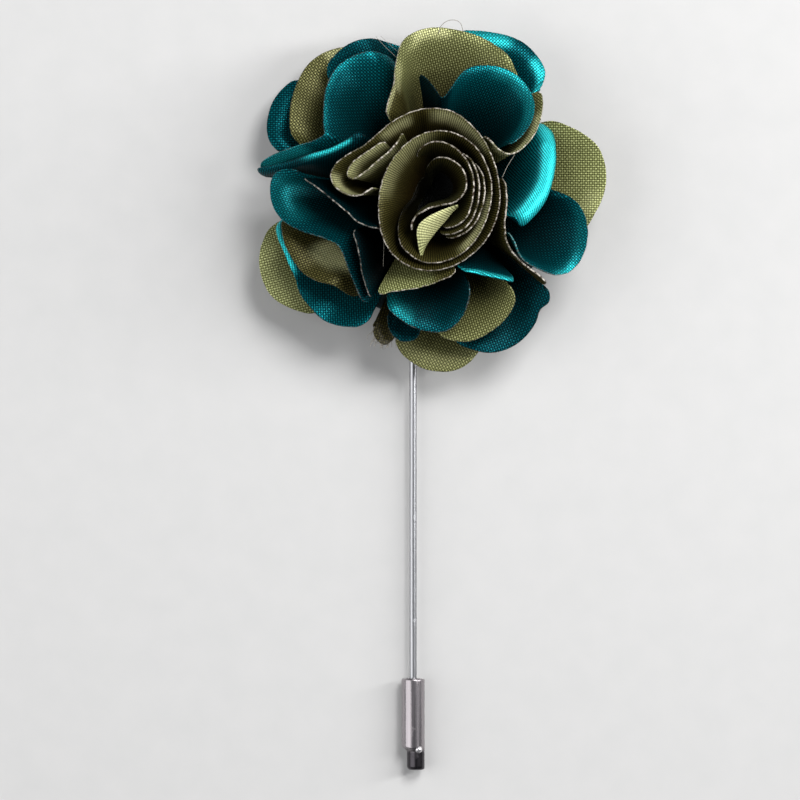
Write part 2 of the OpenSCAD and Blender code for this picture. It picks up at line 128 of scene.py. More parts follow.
# Fold tables, as in the part's source. Each row is one fold line of a petal, from the core to the rim:
# turn, in degrees anticlockwise from +X; spread, the rim's place on the dome in flower radii; and
# length, the share of the whole fold line that the cloth covers. A row with no length has all of it.
FOLDS = {
    "upper_left_cup": [
        [104, 0.99, 0.7], [108, 0.94, 0.84], [113, 0.91, 0.955], [119, 0.91, 0.99], [125, 0.905],
        [130, 0.88], [135, 0.84], [140, 0.785], [145, 0.73], [150, 0.69], [156, 0.74], [160, 0.82],
        [163, 0.91], [166, 0.98], [168.5, 1.03],
    ],
    "upper_left_lip": [
        [172.5, 1.02], [171, 0.92], [168, 0.81], [164, 0.71], [158, 0.61], [149, 0.54], [140, 0.52],
    ],
    "upper_left_back": [
        [96, 1.1, 0.62], [101, 1.09, 0.69], [106, 1.07, 0.78], [109, 1.05, 0.85], [113, 1.02, 0.925],
        [118, 1.01, 0.96], [123, 1.01, 0.95], [128, 1.01, 0.92], [133, 1.02, 0.82],
    ],
    "upper_left_olive": [
        [116, 1.12, 0.75], [120, 1.12, 0.82], [125, 1.12, 0.865], [130, 1.12, 0.885], [135, 1.11, 0.89],
        [141, 1.08, 0.885], [147, 1.04, 0.88], [152, 1, 0.87], [156, 0.98, 0.84], [160, 0.98, 0.77],
    ],
    "left_teal": [
        [137, 1.2, 0.77], [141, 1.18, 0.83], [146, 1.17, 0.86], [151, 1.15, 0.88], [156, 1.12, 0.885],
        [160, 1.09, 0.87], [164, 1.08, 0.82],
    ],
    "top_olive": [
        [120, 0.52], [114, 0.56], [107, 0.65], [103, 0.76], [100, 0.87], [95, 0.925], [88, 0.945],
        [79, 0.94], [72, 0.935], [66, 0.915], [60, 0.9, 0.97], [54, 0.92, 0.84], [49, 0.93, 0.72],
    ],
    "top_cup": [
        [96, 0.69], [90, 0.6], [84, 0.54], [80, 0.6], [76, 0.68], [70, 0.75], [62, 0.8], [54, 0.82],
        [46, 0.79], [40, 0.72], [36, 0.62], [34, 0.53],
    ],
    "top_inner_olive": [
        [45, 0.87, 0.96], [42, 0.84, 0.99], [38, 0.785], [33, 0.7], [29, 0.62], [26.5, 0.54], [28, 0.485],
        [34, 0.455], [42, 0.448], [48, 0.452, 0.97],
    ],
    "top_teal": [
        [84, 1.05, 0.81], [79, 1.05, 0.865], [74, 1.05, 0.89], [69, 1.05, 0.91], [64, 1.05, 0.935],
        [59, 1.05, 0.94], [54, 1.04, 0.925], [49, 1.02, 0.91], [45, 1, 0.87],
    ],
    "right_teal": [
        [40, 0.94, 0.74], [36, 0.89, 0.84], [31, 0.83, 0.93], [26, 0.785, 0.99], [20, 0.755], [13, 0.715],
        [6, 0.665], [-2, 0.605], [-9, 0.55], [-15, 0.51],
    ],
    "right_olive": [
        [34, 0.98, 0.7], [30, 0.96, 0.79], [26, 0.96, 0.865], [21, 0.98, 0.935], [16, 1, 0.98],
        [10, 1.01, 0.99], [4, 1.01, 0.98], [-2, 1, 0.95], [-7, 0.99, 0.91], [-12, 1, 0.85],
        [-17, 1.02, 0.77],
    ],
    "lower_right_cup": [
        [7, 0.86, 0.45], [4.5, 0.83, 0.58], [2, 0.81, 0.74], [-1.5, 0.81, 0.93], [-6, 0.85], [-11, 0.895],
        [-17, 0.92], [-23, 0.92], [-28, 0.89], [-31, 0.83], [-32, 0.75], [-31.5, 0.66], [-29, 0.58],
        [-25, 0.52],
    ],
    "lower_right_olive": [
        [12, 0.418, 0.93], [-5, 0.42], [-20, 0.432], [-30, 0.475], [-35.5, 0.54], [-37.8, 0.62],
        [-38, 0.7], [-37.5, 0.78], [-37.5, 0.85],
    ],
    "bottom_cup": [
        [246, 0.73, 0.88], [250, 0.72, 0.95], [255, 0.73, 0.99], [262, 0.76], [269, 0.78], [276, 0.78],
        [282, 0.73], [288, 0.65], [292, 0.59],
    ],
    "bottom_olive": [
        [271, 0.88, 0.85], [276, 0.87, 0.92], [281, 0.87, 0.97], [286, 0.865], [293, 0.85], [300, 0.825],
        [306, 0.785], [310, 0.74],
    ],
    "bottom_lip": [[290, 0.46], [297, 0.5], [304, 0.56], [310, 0.63], [314, 0.7]],
    "bottom_teal": [
        [321, 0.94, 0.94], [317, 0.95, 0.93], [313, 0.96, 0.905], [309, 0.98, 0.935], [304, 0.99, 0.965],
        [299, 0.99, 0.985], [293, 0.98, 0.99], [288, 0.97, 0.96], [283, 0.97, 0.88], [278, 0.99, 0.79],
    ],
    "bottom_back": [
        [250, 0.87, 0.81], [254, 0.89, 0.88], [258, 0.9, 0.92], [262, 0.9, 0.9], [265, 0.9, 0.88],
    ],
    "bottom_disc": [
        [255, 1.1, 0.7], [258.5, 1.09, 0.76], [262, 1.09, 0.81], [267, 1.09, 0.865], [272, 1.09, 0.89],
        [277, 1.09, 0.895], [282, 1.1, 0.85], [286, 1.12, 0.77], [290, 1.14, 0.7],
    ],
    "frayed_tip": [[246, 0.99, 0.78], [249.5, 1, 0.83], [253, 1, 0.84], [256, 0.99, 0.75]],
    "centre_olive": [
        [241, 0.66], [246, 0.61], [253, 0.57], [261, 0.54], [270, 0.515], [279, 0.49], [287, 0.47],
    ],
    "lower_left_cup": [
        [175, 0.85, 0.98], [178, 0.905], [182, 0.91], [186, 0.895], [190, 0.86], [194, 0.79], [199, 0.72],
        [204, 0.65], [209, 0.61], [216, 0.615], [225, 0.66], [233, 0.71], [240, 0.75],
    ],
    "lower_left_lip": [[175, 0.74], [179, 0.65], [186, 0.56], [193, 0.49], [201, 0.45]],
    "lower_left_ply": [
        [206, 0.495], [213, 0.51], [220, 0.545], [227, 0.592], [234, 0.642], [238.5, 0.68],
        [240.5, 0.7, 0.93],
    ],
    "lower_left_olive": [
        [187, 0.99, 0.82], [192, 0.95, 0.88], [198, 0.9, 0.97], [204, 0.875], [211, 0.86], [217, 0.82],
        [223, 0.79, 0.94], [230, 0.81, 0.86], [236, 0.85, 0.78],
    ],
    "lower_left_teal": [
        [188, 1.1, 0.72], [193, 1.05, 0.785], [198, 1, 0.85], [204, 0.975, 0.885], [211, 0.965, 0.915],
        [217, 0.98, 0.94], [223, 1, 0.92], [229, 1, 0.92], [235, 0.98, 0.905], [240, 0.95, 0.88],
        [243.5, 0.93, 0.85],
    ],
    "left_olive": [
        [189, 1.2, 0.68], [193, 1.17, 0.765], [197, 1.14, 0.855], [202, 1.12, 0.93], [208, 1.13, 0.945],
        [213, 1.13, 0.935], [218, 1.12, 0.895], [223, 1.12, 0.825], [227, 1.14, 0.745],
    ],
    "rosette": [
        [242, 0.25], [236, 0.2], [238, 0.14], [262, 0.085], [310, 0.085], [342, 0.14], [366, 0.185],
        [392, 0.205], [420, 0.205], [450, 0.19, 0.97], [475, 0.195, 0.85], [500, 0.215, 0.65],
        [522, 0.235, 0.55], [545, 0.255, 0.6], [563, 0.275, 0.75], [580, 0.3, 0.92], [600, 0.34],
        [622, 0.385], [645, 0.385], [668, 0.36], [690, 0.335], [715, 0.326], [740, 0.332], [765, 0.345],
        [790, 0.35], [812, 0.335], [835, 0.305], [858, 0.285], [882, 0.28], [905, 0.295], [925, 0.325],
        [945, 0.375], [965, 0.42], [985, 0.435], [1005, 0.425], [1025, 0.405], [1047, 0.39],
        [1070, 0.378], [1092, 0.374], [1115, 0.39], [1136, 0.425], [1156, 0.465], [1175, 0.47],
        [1195, 0.455], [1212, 0.445], [1226, 0.465], [1236, 0.52], [1244, 0.57], [1251, 0.58],
        [1257, 0.54], [1261, 0.47], [1261, 0.4], [1256, 0.35],
    ],
    "rosette_ply_inner": [
        [-72, 0.235, 0.7], [-55, 0.238, 0.88], [-37, 0.236], [-18, 0.23], [0, 0.229], [28, 0.245],
        [50, 0.265], [68, 0.28], [86, 0.285], [100, 0.278, 0.88], [112, 0.262, 0.7],
    ],
    "rosette_ply_middle": [
        [-78, 0.268, 0.7], [-62, 0.272, 0.88], [-45, 0.268], [-22, 0.26], [0, 0.261], [22, 0.272],
        [40, 0.288, 0.95], [56, 0.3, 0.75],
    ],
    "rosette_ply_outer": [
        [-72, 0.305, 0.7], [-56, 0.3, 0.88], [-38, 0.294], [-15, 0.292], [5, 0.294], [22, 0.302, 0.95],
        [38, 0.312, 0.75],
    ],
    "rosette_hairpin": [
        [116, 0.38], [128, 0.345], [140, 0.345], [152, 0.37], [161, 0.4], [168, 0.44], [169, 0.475],
        [165, 0.49], [158, 0.47], [150, 0.435], [141, 0.41], [133, 0.395],
    ],
    "rosette_blade": [[-28, 0.165], [-50, 0.16], [-74, 0.19], [-88, 0.235], [-96, 0.29], [-99, 0.345]],
}

# The slots of the two cloths
TEAL, OLIVE = "teal_cloth", "olive_cloth"

# How each fold looks. grain turns the weave, in degrees; curl and lip are the angle and width, in
# millimetres, of the roll along the rim; singe is how strongly the rim is singed at the first and the
# last fold line; corner is the radius of the corners, in millimetres; ribs is how far the cloth shows ribs
# in place of a square weave; depth is how soon painted shade darkens it from the rim down to the root;
# and tone is how much painted light or shade the cloth has at the first and the last fold line. Where
# singe or tone is one number, it is the same at both.
LOOK_NAMES = ("slot", "grain", "curl", "lip", "singe", "corner", "ribs", "depth", "tone")
LOOKS = {
    "upper_left_cup": (TEAL, 35, 22, 2.0, (0.3, 0.1), 2.0, 0, 1.5, (0.8, 0.65)),
    "upper_left_lip": (TEAL, 80, 85, 1.3, 0.1, 0.9, 0.4, 6.0, (0.5, 0.2)),
    "upper_left_back": (TEAL, 20, 12, 1.5, 0.1, 2.0, 0, 2.0, 0.4),
    "upper_left_olive": (OLIVE, 8, 12, 3.0, 0.1, 2.0, 0, 1.2, 0.6),
    "left_teal": (TEAL, 40, 25, 2.0, 0.1, 1.8, 0, 1.2, 0.58),
    "top_olive": (OLIVE, 30, 35, 2.4, (1.0, 0.0), 1.2, 0, 1.5, (0.9, 0.95)),
    "top_cup": (TEAL, 50, 50, 2.0, (0.0, 0.1), 0.8, 0, 3.2, 0.74),
    "top_inner_olive": (OLIVE, 75, 30, 1.2, (0.6, 1.0), 1.0, 0.2, 1.8, 0.8),
    "top_teal": (TEAL, 40, 50, 2.6, 0.1, 2.0, 0, 1.0, 0.55),
    "right_teal": (TEAL, 95, 95, 4.2, 0.0, 1.6, 0.7, 3.4, 1.0),
    "right_olive": (OLIVE, 35, 12, 2.4, 0.15, 2.2, 0, 1.0, 1.4),
    "lower_right_cup": (TEAL, 45, 36, 1.6, (0.0, 0.5), 1.2, 0, 3.6, (0.5, 0.72)),
    "lower_right_olive": (OLIVE, 20, 30, 0.9, (0.8, 1.0), 1.0, 0.2, 3.5, (0.25, 0.3)),
    "bottom_cup": (TEAL, 40, 25, 1.4, (0.3, 0.2), 1.6, 0, 4.0, (0.62, 0.3)),
    "bottom_olive": (OLIVE, 15, 12, 1.8, (0.2, 0.1), 1.6, 0, 1.6, 0.85),
    "bottom_lip": (TEAL, 80, 60, 0.6, 0.0, 1.2, 0.3, 9.0, 0.5),
    "bottom_teal": (TEAL, 30, 14, 2.0, (0.2, 0.1), 1.8, 0, 2.0, (0.34, 0.28)),
    "bottom_back": (TEAL, 60, 12, 1.0, 0.1, 1.2, 0, 2.0, 0.25),
    "bottom_disc": (OLIVE, 45, 10, 2.0, 0.15, 2.0, 0, 1.0, 0.8),
    "frayed_tip": (OLIVE, 10, 10, 1.0, 0.1, 1.0, 0, 3.0, 0.3),
    "centre_olive": (OLIVE, 35, 20, 1.0, 1.0, 1.0, 0, 1.2, (1.6, 1.2)),
    "lower_left_cup": (TEAL, 35, 40, 2.4, (0.1, 0.2), 1.6, 0, 2.2, (0.58, 0.55)),
    "lower_left_lip": (TEAL, 30, 15, 0.9, 0.9, 0.6, 0, 9.0, 0.15),
    "lower_left_ply": (TEAL, 70, 15, 0.8, 0.8, 0.6, 0, 12.0, (0.05, 0.2)),
    "lower_left_olive": (OLIVE, 12, 14, 1.8, 0.1, 1.8, 0, 0.8, 0.36),
    "lower_left_teal": (TEAL, 85, 70, 1.3, (0.0, 0.1), 1.6, 0.2, 1.8, 0.6),
    "left_olive": (OLIVE, 5, 12, 2.2, 0.1, 2.0, 0, 0.8, 1.4),
    "rosette": (OLIVE, 0, 30, 1.0, 1.0, 0.8, 0.5, 2.8, 0.36),
    "rosette_hairpin": (OLIVE, 0, 25, 0.9, 1.0, 0.6, 0.5, 2.4, 0.6),
    "rosette_blade": (OLIVE, 0, 0, 1.0, 0.6, 0.0, 0.4, 1.0, 1.5),
}
for ply in ("inner", "middle", "outer"):
    LOOKS[f"rosette_ply_{ply}"] = (OLIVE, 0, 20, 0.8, 1.0, 0.8, 0.5, 3.5, 0.28)
LOOKS = {name: dict(zip(LOOK_NAMES, look)) for name, look in LOOKS.items()}

# The stretch of the rim that rolls, as shares, where it isn't the whole rim
REACH = {
    "top_cup": (0.3, 1), "lower_right_cup": (0.1, 0.95), "bottom_cup": (0, 0.8),
    "bottom_lip": (0.05, 0.95), "lower_left_cup": (0, 0.5), "lower_left_teal": (0, 0.45),
}

# Stretches in shadow: turns, in degrees, and how light the cloth is there
SHADED = {
    "top_olive": ([104.5, 107], [1, 0.38]),
    "top_cup": ([78, 81], [1, 0.2]),
    "centre_olive": ([266, 276], [1, 0.3]),
    "lower_left_cup": ([206, 214], [1, 0.6]),
    "upper_left_cup": ([116, 128, 150, 157], [1, 0.72, 0.72, 1]),
    "rosette": (
        [590, 645, 660, 715, 730, 795, 812, 905, 935, 1095, 1118, 1172, 1177, 1186, 1210, 1225, 1240],
        [0.6, 0.6, 1, 1, 0.5, 0.5, 1, 1, 0.55, 0.55, 1, 0.9, 0.3, 0.8, 1, 0.6, 1],
    ),
}

# Painted highlights where the satin gleams, by fold: the first and the last turn, in degrees, how far below
# the rim the highlight's middle lies and how far it spreads, in millimetres, and its strength.
PAINTED_GLEAMS = {
    "right_teal": [(38, -14, 1.3, 1.0, 1.5)],
    "top_teal": [(84, 62, 1.1, 1.2, 0.7), (54, 44, 0.7, 0.9, 0.6)],
    "upper_left_lip": [(166, 147, 0.3, 0.19, 0.9)],
    "upper_left_cup": [(158, 170, 1.1, 1.1, 0.5), (166, 104, 0.4, 0.3, 0.08)],
    "bottom_lip": [(290, 316, 0.3, 0.2, 0.75)],
    "lower_left_teal": [(186, 210, 0.35, 0.35, 0.9)],
    "lower_left_cup": [(175, 194, 2.4, 2.2, 0.15)],
    "top_cup": [(64, 36, 0.8, 0.9, 0.25)],
    "lower_right_cup": [(-4, -31, 0.7, 0.9, 0.12), (-25, -31, 0.35, 0.4, 0.5)],
    "bottom_cup": [(246, 262, 1.1, 1.2, 0.2)],
    "top_olive": [(97, 83, 0.7, 0.7, 0.45), (122, 106, 0.3, 0.3, 0.45), (108, 102, 0.8, 0.7, 0.35)],
    "top_inner_olive": [(38, 25, 0.7, 0.6, 0.85)],
    "upper_left_olive": [(117, 128, 0.7, 0.7, 0.45)],
    "right_olive": [(2, -16, 1.4, 1.4, 0.3)],
    "left_olive": [(194, 224, 1.6, 1.8, 0.2)],
    "bottom_disc": [(256, 288, 1.3, 1.2, 0.2)],
    "lower_left_olive": [(203, 226, 4.6, 1.8, 1.5)],
    "rosette": [
        (655, 718, 1.0, 0.8, 0.8), (808, 908, 1.2, 1.4, 0.3), (1116, 1171, 1.5, 1.1, 0.9),
        (1185, 1214, 1.4, 0.9, 0.65), (1248, 1268, 1.0, 0.9, 0.85),
    ],
    "rosette_hairpin": [(128, 170, 1.0, 1.0, 0.85)],
    "rosette_blade": [(-28, -99, 2.0, 4.0, 0.95)],
}

# Fold lines that the thin cloth adds past its solid's last one, where the solid has no room
ADDED = {"lower_left_lip": [[208, 0.405], [213, 0.365]]}

# Folds whose cloth is drawn closer to a neighbour than the solids can stand: the turn, in degrees, that
# is added at the first and at the last fold line.
DRAWN = {
    "upper_left_cup": (0, 3.4),
    "upper_left_lip": (1.0, 0),
    "lower_right_cup": (0, -3.0),
    "lower_left_cup": (-4.0, 0),
    "lower_left_lip": (-2.5, 0),
    "lower_right_olive": (0, -1.3),
}

# The fold whose roll takes its cloth from the fold itself, so that its outline is drawn in
DRAWN_IN = "right_teal"

# Width of the scorched strip along the rim, in millimetres, and where it is wider
SCORCH_W = 0.09
SCORCHED = {"frayed_tip": 2.6, "lower_right_olive": 0.2}

# The rosette's roots by turn, as the share of the way in to the hollow's middle that they are pulled, so
# that its left side slopes down like a funnel; the share of its length that the low winding keeps; and
# how light the low winding is in the dark of the hollow.
ROOTS_IN = ([430, 465, 560, 620, 790, 850, 915, 965], [0, 0.75, 0.75, 0, 0, 0.72, 0.72, 0])
KEPT = ([440, 475, 560, 600], [1, 0.45, 0.45, 1])
DIM = ([425, 465, 570, 610], [1, 0.06, 0.06, 1])

# The left edge of the leaf that the rosette's blade ends in
BLADE_LEFT = np.array([
    [3.3, -1.5, 18.4], [1.9, -1.95, 18.9], [0.6, -2.5, 19.1], [-0.8, -3.25, 19.2], [-1.75, -4.15, 19.1],
    [-2.0, -5.2, 18.8], [-1.85, -6.5, 18.3], [-1.6, -7.8, 17.7], [-1.35, -8.7, 17.2],
])

# Where on its fold lines the blade begins, how far its right edge drops below its solid's, and how far
# its leaf is crowned
BLADE_FOOT, BLADE_DROP, BLADE_CROWN = 0.35, 1.9, 0.45

# Mesh points along the blade, up its wall and across its leaf
BLADE_ALONG, BLADE_UP, BLADE_ACROSS = 64, 12, 34

# Loose sewing threads: radius, and the points that each runs through
THREADS = (
    (0.04, [[0.9, 20.6, 10.2], [1.1, 21.5, 10.4], [1.9, 22.2, 10.6],
            [2.9, 22.35, 10.6], [3.7, 21.9, 10.3], [4.0, 20.8, 10.0]]),
    (0.024, [[-6.3, -4.4, 17.6], [-6.15, -6.5, 17.0], [-6.25, -9.4, 15.6]]),
    (0.03, [[10.6, 5.0, 16.3], [9.6, 3.4, 16.9], [8.9, 1.9, 17.6]]),
    (0.024, [[-7.2, 20.3, 9.2], [-6.2, 19.2, 9.6], [-4.6, 17.6, 10.2]]),
    (0.02, [[-6.6, 20.4, 9.2], [-5.5, 19.3, 9.5], [-4.3, 18.3, 10.0]]),
)

# Number and radius of the fibres at the frayed tip
HAIRS, HAIR_R = 26, 0.028

# Millimetres of the object across the photo, the place at its middle, and the camera's lens
VIEW_WIDTH = 103.2
VIEW_X, VIEW_Y, FOCUS_Z = -4.1, -26.4, 6.0
LENS, SENSOR = 300.0, 36.0

# Half the width of the floor
FLOOR_HALF = 2000.0

# The soft lights: name, place, aim and size, in metres, and power
LIGHTS = (
    ("key", (0.16, 0.22, 0.42), (0, 0, 0.01), (0.2, 0.2), 1.9),
    ("left", (-0.3, -0.05, 0.26), (0, -0.03, 0.01), (0.36, 0.44), 0.95),
    ("right", (0.34, 0.05, 0.22), (0, 0, 0.01), (0.06, 0.3), 1.1),
)

# The even light from all round: colour and strength
SKY_COLOUR, SKY_STRENGTH = (0.9, 0.93, 1.0, 1), 0.16


def is_ribbon(name):
    return name.startswith("rosette")


def mix(a, b, t):
    return a + (b - a) * t


def ease(t):
    t = np.clip(t, 0, 1)
    return t * t * (3 - 2 * t)


def unit(v):
    return v / np.maximum(np.linalg.norm(v, axis=-1, keepdims=True), 1e-12)


def fold_lines(name):
    """A fold's table and the fold lines added to it, with each length that a row leaves out."""
    return np.array([(*row, 1)[:3] for row in FOLDS[name] + ADDED.get(name, [])], float)


def through(rows, at):
    """The smooth curve through the rows, at fractional row numbers."""
    last = len(rows) - 1
    i = np.clip(np.floor(at).astype(int), 0, last - 1)
    t = (at - i)[:, None]
    a, b, c, d = (rows[np.clip(i + k, 0, last)] for k in (-1, 0, 1, 2))
    return b + t * ((c - a) / 2 + t * (a - 2.5 * b + 2 * c - d / 2 + t * (1.5 * (b - c) + (d - a) / 2)))


def between(rows, steps):
    """Row numbers with so many steps from each row to the next."""
    return np.linspace(0, len(rows) - 1, steps * (len(rows) - 1) + 1)


def on_folds(folds, up, root_in=0.0):
    """Points on fold lines at the shares up of their way from root to rim."""
    turn, spread, length = (folds[:, k, None] for k in range(3))
    down_core = (spread - BROW_SPREAD) / (FOOT_SPREAD - BROW_SPREAD)
    on_top = spread < BROW_SPREAD
    root_r = np.where(on_top, CORE_TOP_R * spread / BROW_SPREAD, mix(CORE_TOP_R, CORE_FOOT_R, down_core))
    root_r = root_r * (1 - root_in)
    root_z = np.where(on_top, CORE_TOP_Z, mix(CORE_TOP_Z, FOOT_Z, down_core))
    rim_z = FOOT_Z + DOME_RISE * (1 - (spread / FOOT_SPREAD) ** 2)
    way = up * length
    r = mix(root_r, spread * FLOWER_R, way)
    z = mix(root_z, rim_z, np.maximum(way, 0) ** CUP_BEND)
    a = np.radians(turn)
    return np.stack([r * np.cos(a), r * np.sin(a), z], axis=-1)


# Distances from a free edge at which the mesh has points
EDGE_STEPS = np.array([0, 0.025, 0.06, 0.105, 0.16, 0.24, 0.36])


def stations(total, step):
    """Distances along an edge, close together at both ends."""
    near = EDGE_STEPS * min(1, total / (4 * EDGE_STEPS[-1]))
    count = max(2, int(round((total - 2 * near[-1]) / step)))
    middle = np.linspace(near[-1], total - near[-1], count + 1)
    return np.concatenate([near[:-1], middle, (total - near[:-1])[::-1]])


def distances(points, axis):
    """Cumulative distance along one axis of a grid of points."""
    steps = np.linalg.norm(np.diff(points, axis=axis), axis=-1)
    total = np.cumsum(steps, axis=axis)
    return np.insert(total, 0, 0, axis=axis)


def grid_normals(points):
    return unit(np.cross(*np.gradient(points, axis=(0, 1))))


def unrolled(points):
    """The grid laid flat, fold line by fold line, so that the weave keeps its size."""
    roots, rims = points[:, 0], points[:, -1]
    flat_root, flat_rim = np.zeros((2, len(points), 2))
    flat_rim[0] = (0, np.linalg.norm(rims[0] - roots[0]))

    def third(a2, b2, da, db):
        """The flat point at two distances from two flat points, on their right."""
        base = b2 - a2
        long = max(np.hypot(*base), 1e-9)
        x = (da * da - db * db + long * long) / (2 * long)
        y = math.sqrt(max(da * da - x * x, 0))
        along = base / long
        return a2 + along * x + np.array([along[1], -along[0]]) * y

    for i in range(1, len(points)):
        a3, b3 = roots[i - 1], rims[i - 1]
        a2, b2 = flat_root[i - 1], flat_rim[i - 1]
        flat_rim[i] = third(a2, b2, np.linalg.norm(rims[i] - a3), np.linalg.norm(rims[i] - b3))
        a_to, b_to = np.linalg.norm(roots[i] - a3), np.linalg.norm(roots[i] - rims[i])
        flat_root[i] = third(a2, flat_rim[i], a_to, b_to)
    share = distances(points, 1)
    share = (share / share[:, -1:])[..., None]
    return mix(flat_root[:, None], flat_rim[:, None], share)


def roll_rim(points, to_rim, curl, lip, shape):
    """Bends the last stretch of each fold line outwards, away from the face that shows."""
    away = grid_normals(points)
    if away[..., 2].mean() > 0:
        away = -away
    up = unit(np.gradient(points, axis=1))
    rolled = points.copy()
    for i in range(len(points)):
        bend = math.radians(curl) * shape[i]
        inside = to_rim[i] < lip
        if bend < LEAST_BEND or inside.sum() < 3:
            continue
        first = int(np.argmax(inside)) - 1
        x = np.maximum(lip - to_rim[i, first:], 0)
        angle = bend * x / lip
        t, d = up[i, first], away[i, first]
        along = lip / bend * np.sin(angle)
        across = lip / bend * (1 - np.cos(angle))
        start = points[i, first] + t * (to_rim[i, first] - lip)
        rolled[i, first + 1:] = start + along[1:, None] * t + across[1:, None] * d
    return rolled


def wavy(rng, count, waves):
    """A smooth random line of the given number of waves, from -1 to 1."""
    x = np.linspace(0, 1, count)
    line = sum(
        rng.uniform(0.5, 1) / (k + 1) * np.sin(2 * math.pi * ((k + 1) * waves * x + rng.uniform()))
        for k in range(3)
    )
    return line / 1.6


def rounded(run, long, corner):
    """Share of each fold line that is left where both corners of the rim are rounded."""
    aside = np.clip(corner - np.minimum(run, run[-1] - run), 0, corner)
    return 1 - (corner - np.sqrt(np.maximum(corner ** 2 - aside ** 2, 0))) / long


def rippled(points, rng, up, wall, waves):
    """Gives a fold a dish, waves at its rim and small pleats at its root, within its solid's wall."""
    room = np.maximum(0.5 * wall * mix(ROOT_PRESS, 1, up) - 0.5 * CLOTH_T, 0)
    rise = wavy(rng, len(points), waves)[:, None] * up ** 1.5
    pleat = wavy(rng, len(points), waves * 2.5)[:, None] * (1 - up) ** 2 * PLEAT
    dish = -DISH * np.sin(math.pi * np.clip(up, 0, 1))
    return points + grid_normals(points) * ((rise + pleat + dish) * ROOM_USED * room)[..., None]


def to_sides(points):
    """Distance of each point to the nearer of its sheet's first and last fold lines."""
    across = distances(points, 0)
    return np.minimum(across, across[-1:] - across)


def blade_points():
    """The blade: a short wall under its right edge, which leans over to the left as a pointed leaf."""
    share = np.linspace(0, 1, BLADE_ALONG)
    rows = fold_lines("rosette_blade")
    folds = through(rows, share * (len(rows) - 1))
    wall = on_folds(folds, np.linspace(BLADE_FOOT, 1, BLADE_UP)[None])
    wall[..., 2] -= BLADE_DROP * np.linspace(0, 1, BLADE_UP)[None] ** 2
    right = wall[:, -1]
    left = through(BLADE_LEFT, share * (len(BLADE_LEFT) - 1))
    lean = np.linspace(0, 1, BLADE_ACROSS)[None, :, None]
    leaf = mix(right[:, None], left[:, None], lean)
    leaf[..., 2] += BLADE_CROWN * np.sin(math.pi * lean[..., 0]) * np.sin(math.pi * share)[:, None] ** 0.5
    points = np.concatenate([wall, leaf[:, 1:]], axis=1)
    run = distances(points, 1)
    up = run / run[:, -1:]
    return points, run[:, -1:] - run, to_sides(points), up ** 0.4, share, distances(right, 0), folds[:, 0]


def sheet_points(name, wall):
    """The middle surface of a fold, with its distances to the free edges."""
    if name == "rosette_blade":
        return blade_points()
    rows, look = fold_lines(name), LOOKS[name]
    at = between(rows, 40)
    rim = on_folds(through(rows, at), np.ones((1, 1)))[:, 0]
    run = distances(rim, 0)
    spots = stations(run[-1], RIBBON_STEP if is_ribbon(name) else CLOTH_STEP)
    folds = through(rows, np.interp(spots, run, at))
    turn = folds[:, 0].copy()
    drawn = DRAWN.get(name, (0, 0))
    along = spots / spots[-1]
    folds[:, 0] += drawn[0] * (1 - along) ** 2 + drawn[1] * along ** 2
    root_in = 0.0
    if name == "rosette":
        root_in = np.interp(turn, *ROOTS_IN)[:, None]
        folds[:, 2] *= np.interp(turn, *KEPT)
    ends = on_folds(folds, np.array([[0.0, 0.25, 0.5, 0.75, 1.0]]))
    long = distances(ends, 1)[:, -1]
    share = np.linspace(0, 1, len(folds))
    first, last = REACH.get(name, (0, 1))
    shape = ease((share - first + ROLL_PAST) / ROLL_EASE) * ease((last + ROLL_PAST - share) / ROLL_EASE)
    bend = np.maximum(np.radians(look["curl"]) * shape, 1e-3)
    spare = look["lip"] * (1 - np.sin(np.minimum(bend, math.pi / 2)) / bend) * (name != DRAWN_IN)
    rng = np.random.default_rng(sum(map(ord, name)))
    ragged = RAGGED * np.broadcast_to(look["singe"], 2)[1] * wavy(rng, len(folds), spots[-1] / RAGGED_WAVE)
    reach = rounded(spots, long, look["corner"]) + (spare + ragged) / long
    near = 1 - EDGE_STEPS[::-1][None] / (long * reach)[:, None]
    body = np.linspace(0, 1, POINTS_UP)[None, :-1] * near[:, :1]
    up = np.concatenate([body, near], axis=1)
    points = on_folds(folds, up * reach[:, None], root_in)
    to_rim = distances(points, 1)
    to_rim = to_rim[:, -1:] - to_rim
    points = roll_rim(points, to_rim, look["curl"], look["lip"], shape)
    points = rippled(points, rng, up, wall, max(1, run[-1] / RIPPLE_WAVE))
    return points, to_rim, to_sides(points), up, share, spots, turn


def half_thickness(name, to_rim, to_side, singe):
    """Half the cloth's thickness: round at the free edges, with a lumpy bead along a singed rim."""
    edge = np.minimum(to_rim, to_side)
    edge[:, 0] = 0
    count = len(edge)
    rng = np.random.default_rng(len(name) + 7 * sum(map(ord, name)))
    lumps = 1 + LUMPY * wavy(rng, count, count / LUMP_ROWS)[:, None]
    bead = BEAD * singe * lumps * np.exp(-(((to_rim - BEAD_IN) / BEAD_SPREAD) ** 2)) * (edge > 0)
    bead[:, :2] = 0
    return CLOTH_T / 2 * np.sqrt(np.clip(1 - (1 - edge / (CLOTH_T / 2)).clip(0, 1) ** 2, 0, 1)) + bead


def gleam_on(name, turns, to_rim):
    """How strongly the painted highlight lights a fold at each of its points."""
    gleam = np.zeros_like(to_rim)
    for first, last, middle, spread, strength in PAINTED_GLEAMS.get(name, ()):
        way = (turns - first) / (last - first)
        here = ease(way / FADE + FADE_AT_END) * ease((1 - way) / FADE + FADE_AT_END)
        band = np.exp(-(np.abs((to_rim - middle) / spread) ** 3))
        gleam = np.maximum(gleam, strength * here[:, None] * band)
    return gleam


def placed(name, data):
    """A new object in the scene."""
    thing = bpy.data.objects.new(name, data)
    bpy.context.scene.collection.objects.link(thing)
    return thing


